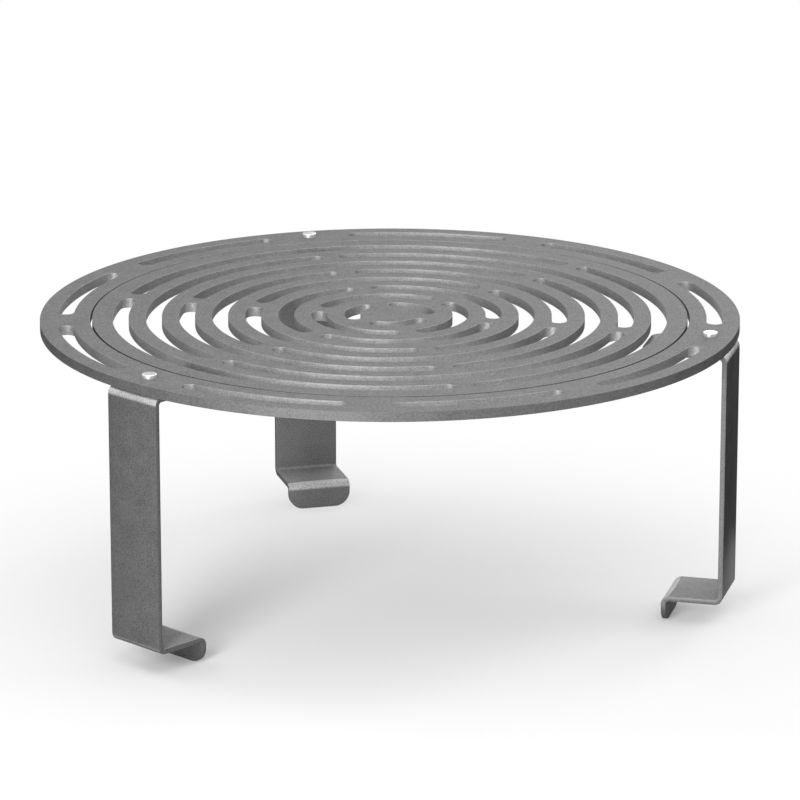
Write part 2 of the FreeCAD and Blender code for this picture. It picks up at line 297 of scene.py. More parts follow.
    def copies(self, curve: Value, amount: int) -> tuple[Value, Value]:
        """Copies of a curve, and the number of each from 0 up."""
        node = self.add("GeometryNodeDuplicateElements", {"Geometry": curve, "Amount": amount},
                        domain="SPLINE")
        return Value(self, node.outputs["Geometry"]), Value(self, node.outputs["Duplicate Index"])

    def circle(self, radius: Value, points: int) -> Value:
        """Circle about the Z axis, anticlockwise from above."""
        return self.out("GeometryNodeCurvePrimitiveCircle",
                        {"Resolution": points, "Radius": radius}, mode="RADIUS")

    def named(self, attribute: str, data_type: str = "FLOAT") -> Value:
        """Read a named attribute."""
        return self.out("GeometryNodeInputNamedAttribute", {"Name": attribute},
                        data_type=data_type)

    def stored(self, geometry: Value, attribute: str, value: object, data_type: str = "FLOAT",
               domain: str = "POINT") -> Value:
        """Store a value as a named attribute of a geometry."""
        return self.out("GeometryNodeStoreNamedAttribute",
                        {"Geometry": geometry, "Name": attribute, "Value": value},
                        data_type=data_type, domain=domain)

    def without(self, geometry: Value, attribute: str) -> Value:
        """Drop a named attribute from a geometry."""
        return self.out("GeometryNodeRemoveAttribute", {"Geometry": geometry, "Name": attribute})


def sockets(socket_type: str, *labels: str) -> dict[str, str]:
    """Inputs of one type for Graph.group, by name."""
    return dict.fromkeys(labels, socket_type)


PLATE_INPUTS = {"Geometry": GEOMETRY,
                **sockets(FLOAT, "Thickness", "Underside", "Slot Width", "Edge Break",
                          "First Leg"),
                **sockets(MATERIAL, "Face Steel", "Rim Steel", "Slot Steel")}


def slot_outline() -> bpy.types.NodeTree:
    """Group that draws the closed outline of one slot curved about the origin.

    The slot starts at +X and runs anticlockwise, so a plate round it is on the
    outline's right. Its ends are full rounds, each the margin away from a spoke.

    Returns:
        The node group.
    """
    graph = Graph.group(
        "Slot Outline", "GeometryNodeTree",
        {**sockets(FLOAT, "Middle Radius", "Width", "Margin", "Sweep"),
         "Wall Points": 48, "End Points": 17},
        {"Curve": GEOMETRY})
    middle, sweep = graph.given("Middle Radius"), graph.given("Sweep")
    rounding = graph.given("Width") / 2.0
    inset = graph.math("ARCSINE", (graph.given("Margin") + rounding) / middle)
    last = sweep - inset
    wall, end = graph.given("Wall Points"), graph.given("End Points")
    sections = (
        (middle + rounding, inset, last - inset, wall, None),
        (rounding, last, math.pi, end, graph.polar(middle, last)),
        (middle - rounding, last, inset - last, wall, None),
        (rounding, inset + math.pi, math.pi, end, graph.polar(middle, inset)),
    )
    section_step = 1000.0
    last_point = graph.out("GeometryNodeCurveEndpointSelection", {"Start Size": 0, "End Size": 1})
    index = graph.out("GeometryNodeInputIndex")
    arcs = []
    for step, (radius, start, turn, points, centre) in enumerate(sections):
        arc = graph.out("GeometryNodeCurveArc",
                        {"Resolution": points, "Radius": radius, "Start Angle": start,
                         "Sweep Angle": turn},
                        mode="RADIUS")
        arc = graph.stored(arc, "order", index + step * section_step)
        arc = graph.out("GeometryNodeDeleteGeometry", {"Geometry": arc, "Selection": last_point},
                        domain="POINT")
        arcs.append(arc if centre is None else graph.moved(arc, centre))
    points = graph.out("GeometryNodeCurveToPoints", {"Curve": graph.join(arcs)}, mode="EVALUATED")
    loop = graph.out("GeometryNodePointsToCurves",
                     {"Points": points, "Weight": graph.named("order")})
    loop = graph.out("GeometryNodeSetSplineCyclic", {"Geometry": loop, "Cyclic": True})
    graph.give("Curve", graph.without(loop, "order"))
    return graph.tree


def plate_from_outlines() -> bpy.types.NodeTree:
    """Group that cuts a plate along closed outlines and breaks its edges.

    Every outline runs with the plate on its right. The result's cut faces have the
    attribute "cut", by which they get their own materials.

    Returns:
        The node group.
    """
    graph = Graph.group(
        "Plate From Outlines", "GeometryNodeTree",
        {"Outlines": GEOMETRY, **sockets(FLOAT, "Thickness", "Underside", "Edge Break")},
        {"Plate": GEOMETRY})
    edge, thickness = graph.given("Edge Break"), graph.given("Thickness")
    into = graph.vector_math("CROSS_PRODUCT", graph.out("GeometryNodeInputTangent"), tuple(UP))
    outlines = graph.stored(graph.given("Outlines"), "into", into, data_type="FLOAT_VECTOR")
    inward = graph.scaled(graph.named("into", "FLOAT_VECTOR"), edge)
    outward = graph.scaled(inward, -1.0)
    rim = graph.out("GeometryNodeSetPosition", {"Geometry": outlines, "Offset": inward})

    to_underside = graph.vector(z=graph.given("Underside"))
    face = graph.out("GeometryNodeFillCurve", {"Curve": rim}, mode="TRIANGLES")
    top = graph.moved(face, graph.vector(z=graph.given("Underside") + thickness))
    bottom = graph.out("GeometryNodeFlipFaces", {"Mesh": graph.moved(face, to_underside)})
    faces = graph.stored(graph.join([top, bottom]), "cut", False, "BOOLEAN", "FACE")

    loops = graph.out("GeometryNodeCurveToMesh", {"Curve": rim})
    climbs = (
        graph.vector_math("ADD", outward, graph.vector(z=edge)),
        graph.vector(z=thickness - edge * 2.0),
        graph.vector_math("ADD", inward, graph.vector(z=edge)),
    )
    wall, growing = graph.moved(loops, to_underside), True
    for climb in climbs:
        extrude = graph.add("GeometryNodeExtrudeMesh",
                            {"Mesh": wall, "Selection": growing, "Offset": climb,
                             "Offset Scale": 1.0},
                            mode="EDGES")
        wall, growing = (Value(graph, extrude.outputs[label]) for label in ("Mesh", "Top"))
    wall = graph.stored(wall, "cut", True, "BOOLEAN", "FACE")

    weld_distance = 5e-6
    plate = graph.out("GeometryNodeMergeByDistance",
                      {"Geometry": graph.join([faces, wall]), "Distance": weld_distance})
    graph.give("Plate", graph.without(plate, "into"))
    return graph.tree


def finish_plate(graph: Graph, cutter: bpy.types.NodeTree, outlines: Sequence[Value],
                 radius: Value) -> None:
    """End a plate's tree: cut the plate, and give faces, rim and openings their materials.

    Args:
        graph: The tree, which has the inputs of PLATE_INPUTS.
        cutter: The group that cuts the plate.
        outlines: The plate's outlines.
        radius: Radius of the plate's rim.
    """
    rim_depth = 1 * MM
    cut = graph.named("cut", "BOOLEAN")
    reach = graph.from_axis(graph.out("GeometryNodeInputPosition"))
    opening = cut * graph.math("LESS_THAN", reach, radius - rim_depth)
    sizes = {label: graph.given(label) for label in ("Thickness", "Underside", "Edge Break")}
    plate = graph.sunk(cutter, {"Outlines": graph.join(outlines), **sizes}, "Plate")
    plate = graph.out("GeometryNodeRealizeInstances", {"Geometry": plate})
    for label, chosen in (("Face Steel", True), ("Rim Steel", cut), ("Slot Steel", opening)):
        plate = graph.out("GeometryNodeSetMaterial",
                          {"Geometry": plate, "Selection": chosen,
                           "Material": graph.given(label)})
    graph.give("Plate", plate)


def grate_tree(outline: bpy.types.NodeTree, cutter: bpy.types.NodeTree) -> bpy.types.NodeTree:
    """Tree of the grate: rows of slots, whose bridges step over in every other row.

    Args:
        outline: The group that draws one slot.
        cutter: The group that cuts the plate.

    Returns:
        The node tree.
    """
    graph = Graph.group(
        "Slotted Grate", "GeometryNodeTree",
        {**PLATE_INPUTS, **sockets(FLOAT, "Radius", "Rim", "Bar Width", "Bridge Width"),
         "Rows": INTEGER},
        {"Plate": GEOMETRY})
    width = graph.given("Slot Width")
    rounds = graph.add("GeometryNodeRepeatInput")
    gathered = graph.add("GeometryNodeRepeatOutput")
    rounds.pair_with_output(gathered)
    graph.feed(rounds.inputs["Iterations"], graph.given("Rows"))
    row = Value(graph, rounds.outputs["Iteration"])
    outer = graph.given("Radius") - graph.given("Rim") - row * (width + graph.given("Bar Width"))
    slot = graph.sunk(outline,
                      {"Middle Radius": outer - width / 2.0, "Width": width,
                       "Margin": graph.given("Bridge Width") / 2.0, "Sweep": SECTOR},
                      "Curve")
    slots, number = graph.copies(slot, len(Leg))
    stagger = graph.math("MODULO", row, 2.0) * (SECTOR / 2)
    turn = graph.given("First Leg") - SECTOR / 2 + stagger + number * SECTOR
    graph.feed(gathered.inputs["Geometry"],
               graph.join([Value(graph, rounds.outputs["Geometry"]), graph.turned(slots, turn)]))

    rim_points = 256
    rim = graph.out("GeometryNodeReverseCurve",
                    {"Curve": graph.circle(graph.given("Radius"), rim_points)})
    finish_plate(graph, cutter, [rim, Value(graph, gathered.outputs["Geometry"])],
                 graph.given("Radius"))
    return graph.tree


def ring_tree(outline: bpy.types.NodeTree, cutter: bpy.types.NodeTree) -> bpy.types.NodeTree:
    """Tree of the ring: three slots between each two legs, and a bolt hole at each leg.

    Args:
        outline: The group that draws one slot.
        cutter: The group that cuts the plate.

    Returns:
        The node tree.
    """
    graph = Graph.group(
        "Slotted Ring", "GeometryNodeTree",
        {**PLATE_INPUTS, **sockets(FLOAT, "Outer Radius", "Bore Radius", "Slot Span",
                                   "Slot Step", "Bolt Circle", "Bolt Hole")},
        {"Plate": GEOMETRY})
    slots_per_sector, slot_points, hole_points, circle_points = 3, 32, 32, 288
    outer, bore, span = (graph.given(label) for label in
                         ("Outer Radius", "Bore Radius", "Slot Span"))
    slot = graph.sunk(outline,
                      {"Middle Radius": (outer + bore) / 2.0, "Width": graph.given("Slot Width"),
                       "Margin": 0.0, "Sweep": span, "Wall Points": slot_points},
                      "Curve")
    slots, number = graph.copies(slot, slots_per_sector * len(Leg))
    place = graph.math("MODULO", number, float(slots_per_sector))
    sector = graph.math("FLOOR", number / float(slots_per_sector))
    middle = (place - (slots_per_sector - 1) / 2) * graph.given("Slot Step")
    turn = graph.given("First Leg") + sector * SECTOR + SECTOR / 2 + middle - span / 2.0
    slots = graph.turned(slots, turn)

    hole = graph.moved(graph.circle(graph.given("Bolt Hole"), hole_points),
                       graph.vector(x=graph.given("Bolt Circle")))
    holes, number = graph.copies(hole, len(Leg))
    holes = graph.turned(holes, graph.given("First Leg") + number * SECTOR)

    rim = graph.out("GeometryNodeReverseCurve", {"Curve": graph.circle(outer, circle_points)})
    finish_plate(graph, cutter, [rim, graph.circle(bore, circle_points), slots, holes], outer)
    return graph.tree


def around_legs_tree() -> bpy.types.NodeTree:
    """Tree that stands a copy of a piece at each leg, turned to face outwards.

    Returns:
        The node tree.
    """
    graph = Graph.group(
        "Around The Legs", "GeometryNodeTree",
        {"Geometry": GEOMETRY, "Count": INTEGER, **sockets(FLOAT, "Circle", "First Leg"),
         "Steel": MATERIAL},
        {"Pieces": GEOMETRY})
    spots = graph.out("GeometryNodeMeshCircle",
                      {"Vertices": graph.given("Count"), "Radius": graph.given("Circle")},
                      fill_type="NONE")
    step = graph.out("GeometryNodeInputIndex") * TURN / graph.given("Count")
    spots = graph.stored(spots, "turn", step + graph.given("First Leg"))
    spots = graph.turned(spots, graph.given("First Leg"))
    copies = graph.out("GeometryNodeInstanceOnPoints",
                       {"Points": spots, "Instance": graph.given("Geometry"),
                        "Rotation": graph.vector(z=graph.named("turn"))})
    pieces = graph.out("GeometryNodeRealizeInstances", {"Geometry": copies})
    pieces = graph.without(pieces, "turn")
    pieces = graph.out("GeometryNodeSetMaterial",
                       {"Geometry": pieces, "Material": graph.given("Steel")})
    graph.give("Pieces", pieces)
    return graph.tree


def new_piece(name: str, data: bpy.types.ID) -> bpy.types.Object:
    """Put a mesh, lens or light in the scene as an object at the origin.

    Args:
        name: The object's name.
        data: What it holds.

    Returns:
        The object.
    """
    piece = bpy.data.objects.new(name, data)
    bpy.context.scene.collection.objects.link(piece)
    return piece


def mesh_of(work: bmesh.types.BMesh, name: str) -> bpy.types.Mesh:
    """End the work on a mesh.

    Args:
        work: The mesh's points and faces, which are freed.
        name: The mesh's name.

    Returns:
        The mesh.
    """
    mesh = bpy.data.meshes.new(name)
    work.to_mesh(mesh)
    work.free()
    return mesh


def grow(piece: bpy.types.Object, tree: bpy.types.NodeTree, values: Mapping[str, object]) -> None:
    """Put a Geometry Nodes tree on a piece, with its inputs set.

    Args:
        piece: The piece.
        tree: The tree.
        values: Value of each named input.
    """
    modifier = piece.modifiers.new(tree.name, "NODES")
    modifier.node_group = tree
    identifiers = {item.name: item.identifier for item in tree.interface.items_tree
                   if item.item_type == "SOCKET" and item.in_out == "INPUT"}
    for label, value in values.items():
        modifier[identifiers[label]] = value


def settle(piece: bpy.types.Object, sharp_angle: float = math.radians(30)) -> None:
    """Turn what a piece's modifiers make into its plain mesh, smooth but for its edges.

    Args:
        piece: The piece.
        sharp_angle: The least angle between two faces that stays a crisp edge.
    """
    bpy.context.view_layer.update()
    depsgraph = bpy.context.evaluated_depsgraph_get()
    mesh = bpy.data.meshes.new_from_object(piece.evaluated_get(depsgraph), depsgraph=depsgraph)
    piece.modifiers.clear()
    old = piece.data
    piece.data = mesh
    mesh.name = piece.name
    bpy.data.meshes.remove(old)
    work = bmesh.new()
    work.from_mesh(mesh)
    bmesh.ops.recalc_face_normals(work, faces=work.faces)
    work.to_mesh(mesh)
    work.free()
    mesh.shade_smooth()
    mesh.set_sharp_from_angle(angle=sharp_angle)


def attach(piece: bpy.types.Object, body: Body, nodes: Sequence[str]) -> None:
    """Let a piece ride on its body, in place of its CAD nodes.

    Args:
        piece: The finished piece.
        body: The body that carries it.
        nodes: The CAD nodes that it stands for.
    """
    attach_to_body(piece, body.value)
    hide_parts(*nodes)
    triangles = sum(len(polygon.vertices) - 2 for polygon in piece.data.polygons)
    log.info("%s: %d triangles, on %s", piece.name, triangles, body.value)


def steel_grain() -> bpy.types.NodeTree:
    """Shader group: the fine grain and soft mottling of blasted or rolled steel.

    Returns:
        The node group, whose outputs are a colour, a roughness and a height.
    """
    graph = Graph.group(
        "Steel Grain", "ShaderNodeTree",
        {"Position": VECTOR, **sockets(COLOR, "Dark", "Light"),
         **sockets(FLOAT, "Grain", "Mottle", "Mottle Share", "Smooth", "Rough")},
        {"Color": COLOR, "Roughness": FLOAT, "Height": FLOAT})
    place = graph.given("Position")
    grain = graph.noise(place, graph.given("Grain"), detail=1.0, roughness=0.6)
    mottle = graph.noise(place, graph.given("Mottle"), detail=3.0, roughness=0.55)
    mixed = grain + (mottle - grain) * graph.given("Mottle Share")
    darkest, lightest = 0.3, 0.7
    spread = graph.out("ShaderNodeMapRange",
                       {"Value": mixed, "From Min": darkest, "From Max": lightest})
    color = graph.out("ShaderNodeMix",
                      {0: spread, 6: graph.given("Dark"), 7: graph.given("Light")},
                      output=2, data_type="RGBA")
    smooth = graph.given("Smooth")
    graph.give("Color", color)
    graph.give("Roughness", smooth + (graph.given("Rough") - smooth) * spread)
    graph.give("Height", grain)
    return graph.tree


def cut_marks() -> bpy.types.NodeTree:
    """Shader group: the fine upright lines that a cutting jet leaves on a plate's edge.

    Returns:
        The node group, whose output is a height from 0 to 1.
    """
    graph = Graph.group("Cut Marks", "ShaderNodeTree", {"Position": VECTOR, "Pitch": 0.6 * MM},
                        {"Height": FLOAT})
    upright = (1.0, 1.0, 0.04)
    place = graph.vector_math("MULTIPLY", graph.given("Position"), upright)
    graph.give("Height", graph.noise(place, graph.given("Pitch"), detail=1.0, roughness=0.5))
    return graph.tree


def bend_wear() -> bpy.types.NodeTree:
    """Shader group: painted light on a leg's flat tops and painted highlights round its end
    bends, made by brightening the steel's colour there.

    Foot and Tab are the heights of the flat tops, of which the tab's is nearer to the axis
    than Reach. The top bend is above Bend and beyond Reach. The lip's bend is above Lip,
    below Half Way and nearer to the axis than Lip Reach.

    Returns:
        The node group, whose output is a colour.
    """
    graph = Graph.group(
        "Painted Highlights And Top Light", "ShaderNodeTree",
        {"Position": VECTOR, "Color": COLOR, **sockets(FLOAT, "Top Light Gain", "Bend Highlight Gain"),
         "Foot": 17 * MM, "Tab": 172 * MM, "Bend": 168.5 * MM, "Reach": 200 * MM,
         "Lip": 14 * MM, "Lip Reach": 182 * MM, "Half Way": 100 * MM, "Fade": 1.5 * MM},
        {"Color": COLOR})
    height = graph.out("ShaderNodeSeparateXYZ", {0: graph.given("Position")}, output=2)
    radius = graph.from_axis(graph.given("Position"))
    fade, reach = graph.given("Fade"), graph.given("Reach")

    def near(level: Value) -> Value:
        """Share that is 1 at a height and falls to 0 within the fade."""
        off = graph.math("ABSOLUTE", height - level)
        return graph.math("MAXIMUM", graph.math("SUBTRACT", 1.0, off / fade), 0.0)

    def above(level: Value) -> Value:
        """Share that is 1 from a height up and falls to 0 within the fade below it."""
        return graph.out("ShaderNodeMapRange",
                         {"Value": height, "From Min": level - fade, "From Max": level})

    lip = (above(graph.given("Lip")) * graph.math("LESS_THAN", height, graph.given("Half Way"))
           * graph.math("LESS_THAN", radius, graph.given("Lip Reach")))
    top = (near(graph.given("Foot"))
           + near(graph.given("Tab")) * graph.math("LESS_THAN", radius, reach))
    bend = above(graph.given("Bend")) * graph.math("GREATER_THAN", radius, reach) + lip
    # The colour's gain: painted light on the flat tops and painted highlights on the bends.
    gain = (top * (graph.given("Top Light Gain") - 1.0)
            + bend * (graph.given("Bend Highlight Gain") - 1.0) + 1.0)
    graph.give("Color", graph.scaled(graph.given("Color"), gain))
    return graph.tree


def grey(tone: float) -> tuple[float, float, float, float]:
    """Colour of a linear grey."""
    return tone, tone, tone, 1.0


WHITE = grey(1.0)


@dataclass(frozen=True)
class SteelFinish:
    """One finish of steel.

    Attributes:
        name: The material's name.
        dark: Linear grey of the darkest grains.
        light: Linear grey of the lightest grains.
        smooth: Roughness of the smoothest spots.
        rough: Roughness of the roughest spots.
        grain: Size of a grain.
        mottle: Size of the soft cloudy patches.
        mottle_share: How much of the variation the patches are.
        grain_depth: How deep the grain goes.
        metallic: Share of bare metal, the rest being dull scale.
        gloss: Strength of the scale's gloss, 0.5 for that of plain paint.
        edge_tint: How much of a mirror's brightening the steel keeps at a grazing view.
        mark_depth: How deep the cutting lines go, 0 for a rolled face.
        top_gain: Painted light: how much brighter the tops of a leg's tab and foot are coloured,
            1 for no leg.
        bend_gain: Painted highlight: how much brighter a leg's top bend and lip bend are
            coloured.
    """

    name: str
    dark: float
    light: float
    smooth: float
    rough: float
    grain: float
    mottle: float = 12 * MM
    mottle_share: float = 0.2
    grain_depth: float = 0.02 * MM
    metallic: float = 1.0
    gloss: float = 0.3
    edge_tint: float = 0.45
    mark_depth: float = 0.0
    top_gain: float = 1.0
    bend_gain: float = 1.0

    def material(self, grain_group: bpy.types.NodeTree, marks_group: bpy.types.NodeTree,
                 highlight_group: bpy.types.NodeTree) -> bpy.types.Material:
        """Build the finish.

        Args:
            grain_group: The grain's shader group.
            marks_group: The cutting lines' shader group.
            highlight_group: The shader group that paints highlights on the bends and light on the
                tops.

        Returns:
            The material.
        """
        material = bpy.data.materials.new(self.name)
        graph = Graph.cleared(material)
        place = graph.out("ShaderNodeTexCoord", output="Object")
        color = graph.sunk(grain_group,
                           {"Position": place, "Dark": grey(self.dark), "Light": grey(self.light),
                            "Grain": self.grain, "Mottle": self.mottle,
                            "Mottle Share": self.mottle_share, "Smooth": self.smooth,
                            "Rough": self.rough},
                           "Color")
        grain = color.socket.node.outputs
        bump = graph.out("ShaderNodeBump", {"Height": grain["Height"], "Strength": 1.0,
                                            "Distance": self.grain_depth})
        if self.mark_depth:
            lines = graph.sunk(marks_group, {"Position": place}, "Height")
            bump = graph.out("ShaderNodeBump", {"Height": lines, "Strength": 1.0,
                                                "Distance": self.mark_depth, "Normal": bump})
        # Painted light on the leg's flat tops and painted highlights on its bends, made by
        # brightening the base colour.
        if self.top_gain > 1.0:
            color = graph.sunk(highlight_group,
                               {"Position": place, "Color": color, "Top Light Gain": self.top_gain,
                                "Bend Highlight Gain": self.bend_gain},
                               "Color")
        surface = graph.out("ShaderNodeBsdfPrincipled",
                            {"Base Color": color, "Metallic": self.metallic,
                             "Specular IOR Level": self.gloss,
                             "Specular Tint": grey(self.edge_tint),
                             "Roughness": grain["Roughness"], "Normal": bump})
        graph.add("ShaderNodeOutputMaterial", {"Surface": surface})
        return material


class Steel(Enum):
    """The stand's steel finishes."""

    FACE = SteelFinish("rolled_plate", dark=0.1, light=0.228, smooth=0.5, rough=0.66,
                       grain=1.0 * MM, metallic=0.1, gloss=0.08)
    RIM = SteelFinish("cut_rim", dark=0.1, light=0.195, smooth=0.48, rough=0.64,
                      grain=0.9 * MM, mark_depth=0.015 * MM)
    # Painted light: the cut edge's steel made about twice as light on the slot walls, which
    # offsets the shade down inside the slots.
    WALL = SteelFinish("cut_slot", dark=0.25, light=0.43, smooth=0.4, rough=0.54,
                       grain=0.9 * MM, metallic=0.8, mark_depth=0.015 * MM)
    # The leg's steel gets painted light on its tops and painted highlights on its bends, by its
    # two gains.
    STRIP = SteelFinish("bent_strip", dark=0.076, light=0.176, smooth=0.32, rough=0.44,
                        grain=0.8 * MM, grain_depth=0.012 * MM, metallic=0.8, top_gain=1.85,
                        bend_gain=3.4)
    # Painted light: a lighter, less metallic copy of the strip's steel on the legs' inner faces,
    # which offsets the shade that they lie in under the plates.
    INSIDE = SteelFinish("strip_inside_lightened", dark=0.09, light=0.21, smooth=0.52, rough=0.64,
                         grain=0.8 * MM, grain_depth=0.012 * MM, metallic=0.4, gloss=0.1,
                         top_gain=1.8, bend_gain=2.85)
    BRIGHT = SteelFinish("polished_fastener", dark=0.74, light=0.84, smooth=0.24, rough=0.32,
                         grain=0.5 * MM, grain_depth=0.002 * MM, metallic=0.85)


Steels = Mapping[Steel, bpy.types.Material]


def all_steels() -> Steels:
    """Make each finish's material once, with the shader groups that they share."""
    groups = steel_grain(), cut_marks(), bend_wear()
    return {steel: steel.value.material(*groups) for steel in Steel}


def bolt_circle() -> float:
    """Distance of the bolts from the stand's axis."""
    low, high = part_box("bolt_back")
    return (low.y + high.y) / 2


@dataclass
class SlottedPlates:
    """The grate and the ring, both cut from one gauge of plate.

    Attributes:
        rim: Solid rim outside the grate's first row of slots.
        rows: Rows of slots in the grate.
        bar_width: Bar between two rows.
        bridge_width: Bridge between two slots of one row.
        slot_width: Width of every slot.
        seat_clearance: Radial gap between the grate and the ring.
        ring_slot_span: Angle of one slot of the ring.
        ring_slot_step: Angle from one slot of the ring to the next.
        bolt_hole: Radius of the ring's bolt holes.
        edge_break: Width of the broken edges.
    """

    rim: float = 12.35 * MM
    rows: int = 8
    bar_width: float = 10.35 * MM
    bridge_width: float = 10.35 * MM
    slot_width: float = 10 * MM
    seat_clearance: float = 1.3 * MM
    ring_slot_span: float = math.radians(30)
    ring_slot_step: float = math.radians(37.5)
    bolt_hole: float = 2.75 * MM
    edge_break: float = 0.08 * MM

    def build(self, steels: Steels) -> None:
        """Build both plates in place of their CAD nodes.

        Args:
            steels: The materials.
        """
        groups = slot_outline(), plate_from_outlines()
        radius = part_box("centre_grate")[1].x
        plates = (
            ("slotted_grate", "centre_grate", Body.GRATE, grate_tree(*groups),
             {"Radius": radius, "Rim": self.rim, "Rows": self.rows,
              "Bar Width": self.bar_width, "Bridge Width": self.bridge_width}),
            ("slotted_ring", "outer_ring", Body.STAND, ring_tree(*groups),
             {"Outer Radius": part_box("outer_ring")[1].x,
              "Bore Radius": radius + self.seat_clearance, "Bolt Circle": bolt_circle(),
              "Slot Span": self.ring_slot_span, "Slot Step": self.ring_slot_step,
              "Bolt Hole": self.bolt_hole}),
        )
        for name, node, body, tree, sizes in plates:
            low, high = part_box(node)
            piece = new_piece(name, bpy.data.meshes.new(name))
            grow(piece, tree,
                 {**sizes, "Thickness": high.z - low.z, "Underside": low.z,
                  "Slot Width": self.slot_width, "Edge Break": self.edge_break,
                  "First Leg": FIRST_LEG, "Face Steel": steels[Steel.FACE],
                  "Rim Steel": steels[Steel.RIM], "Slot Steel": steels[Steel.WALL]})
            settle(piece)
            attach(piece, body, [node])


@dataclass
class Station:
    """One cross-section of a bent strip.

    Attributes:
        place: Middle of the section, as distance from the stand's axis and height.
        out: Unit normal of the strip there, towards its outer face.
        half_width: Half of the strip's width there.
    """

    place: Vector
    out: Vector
    half_width: float


@dataclass
class BentLegs:
    """The three legs, each one strip bent three times.

    Attributes:
        thickness: The strip's gauge.
        bend_radius: Inside radius of each bend.
        foot_lift: Ground to the underside of the foot plate.
        foot_length: Outer face of the leg to the far face of its lip.
        tab_corner: Radius of the corners of the tab.
        lip_corner: Radius of the corners of the lip.
        bolt_hole: Radius of the bolt hole in the flange.
        edge_break: Width of the broken edges.
        sharp_angle: The least angle between two faces that is an edge.
    """

    thickness: float = 3 * MM
    bend_radius: float = 2 * MM
    foot_lift: float = 14 * MM
    foot_length: float = 38.2 * MM
    tab_corner: float = 9 * MM
    lip_corner: float = 10 * MM
    bolt_hole: float = 2.75 * MM
    edge_break: float = 0.1 * MM
    sharp_angle: float = math.radians(50)

    def stations(self) -> list[Station]:
        """Cross-sections from the end of the tab, over the flange and down to the lip.

        Returns:
            The sections in turn.
        """
        low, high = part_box("leg_back")
        half, half_width = self.thickness / 2, (high.x - low.x) / 2
        upright = high.y - half
        lip = high.y - self.foot_length + half
        flange, foot = high.z - half, self.foot_lift + half
        corners = [Vector((low.y, flange)), Vector((upright, flange)), Vector((upright, foot)),
                   Vector((lip, foot)), Vector((lip, 0.0))]
        runs = [(end - start).normalized() for start, end in zip(corners, corners[1:])]
        middle_radius = self.bend_radius + half
        bend_steps, corner_steps = 14, 12

        def out_of(run: Vector) -> Vector:
            """Outer normal of the strip on a run."""
            return Vector((-run.y, run.x))

        def rounded(tip: Vector, inwards: Vector, out: Vector, radius: float) -> list[Station]:
            """Sections of an end with rounded corners, from its tip inwards."""
            gaps = [radius * (1 - math.cos(QUARTER * step / corner_steps))
                    for step in range(corner_steps + 1)]
            return [Station(tip + inwards * gap, out, half_width - radius
                            + math.sqrt(max(radius ** 2 - (radius - gap) ** 2, 0.0)))
                    for gap in gaps]

        found = rounded(corners[0], runs[0], out_of(runs[0]), self.tab_corner)
        for corner, run_in, run_out in zip(corners[1:], runs, runs[1:]):
            start = corner - run_in * middle_radius
            centre = corner + (run_out - run_in) * middle_radius
            turn = math.atan2(run_in.cross(run_out), run_in.dot(run_out))
            for step in range(bend_steps + 1):
                spin = Matrix.Rotation(turn * step / bend_steps, 2)
                found.append(Station(centre + spin @ (start - centre), spin @ out_of(run_in),
                                     half_width))
        lip_end = rounded(corners[-1], -runs[-1], out_of(runs[-1]), self.lip_corner)
        return found + lip_end[::-1]

    def strip(self, azimuth: float) -> bpy.types.Mesh:
        """Mesh of one leg, still without its hole and broken edges.

        Args:
            azimuth: Direction of the leg from +X.

        Returns:
            The mesh, whose material slots are the outside, the cut sides and the inside.
        """
        work = bmesh.new()
        outwards = Vector((math.cos(azimuth), math.sin(azimuth), 0))
        across = UP.cross(outwards)
        outside, cut, inside = range(3)
        loops = []
        for station in self.stations():
            ring = []
            for face, side in ((1, -1), (1, 1), (-1, 1), (-1, -1)):
                flat = station.place + station.out * (face * self.thickness / 2)
                point = outwards * flat.x + UP * flat.y + across * (side * station.half_width)
                ring.append(work.verts.new(point))
            loops.append(ring)
        for first, second in zip(loops, loops[1:]):
            for step, finish in enumerate((outside, cut, inside, cut)):
                after = (step + 1) % len(first)
                face = work.faces.new((first[step], first[after], second[after], second[step]))
                face.material_index = finish
        for end in (loops[0], loops[-1]):
            work.faces.new(end).material_index = cut
        weld_distance = 1e-6
        bmesh.ops.remove_doubles(work, verts=work.verts, dist=weld_distance)
        bmesh.ops.recalc_face_normals(work, faces=work.faces)
        return mesh_of(work, "strip")

    def build(self, steels: Steels) -> None:
        """Build the legs in place of their CAD nodes.

        Args:
            steels: The materials.
        """
        for leg in Leg:
            piece = new_piece("bent_leg_" + leg.side, self.strip(leg.azimuth))
            for steel in (Steel.STRIP, Steel.RIM, Steel.INSIDE):
                piece.data.materials.append(steels[steel])
            drill = self.drill(leg.azimuth)
            bore = piece.modifiers.new("bolt_hole", "BOOLEAN")
            bore.object = drill
            bore.solver = "EXACT"
            bevel = piece.modifiers.new("broken_edges", "BEVEL")
            bevel.width = self.edge_break
            bevel.segments = 2
            bevel.limit_method = "ANGLE"
            bevel.angle_limit = self.sharp_angle
            settle(piece, self.sharp_angle)
            bpy.data.objects.remove(drill)
            attach(piece, Body.STAND, ["leg_" + leg.side])

    def drill(self, azimuth: float) -> bpy.types.Object:
        """Round cutter for the flange's bolt hole.

        Args:
            azimuth: Direction of the leg from +X.

        Returns:
            The cutter.
        """
        sides, reach = 40, bolt_circle()
        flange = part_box("leg_back")[1].z - self.thickness / 2
        place = Matrix.Translation((reach * math.cos(azimuth), reach * math.sin(azimuth), flange))
        work = bmesh.new()
        bmesh.ops.create_cone(work, cap_ends=True, segments=sides, radius1=self.bolt_hole,
                              radius2=self.bolt_hole, depth=3 * self.thickness, matrix=place)
        return new_piece("drill", mesh_of(work, "drill"))


Row = list[bmesh.types.BMVert]


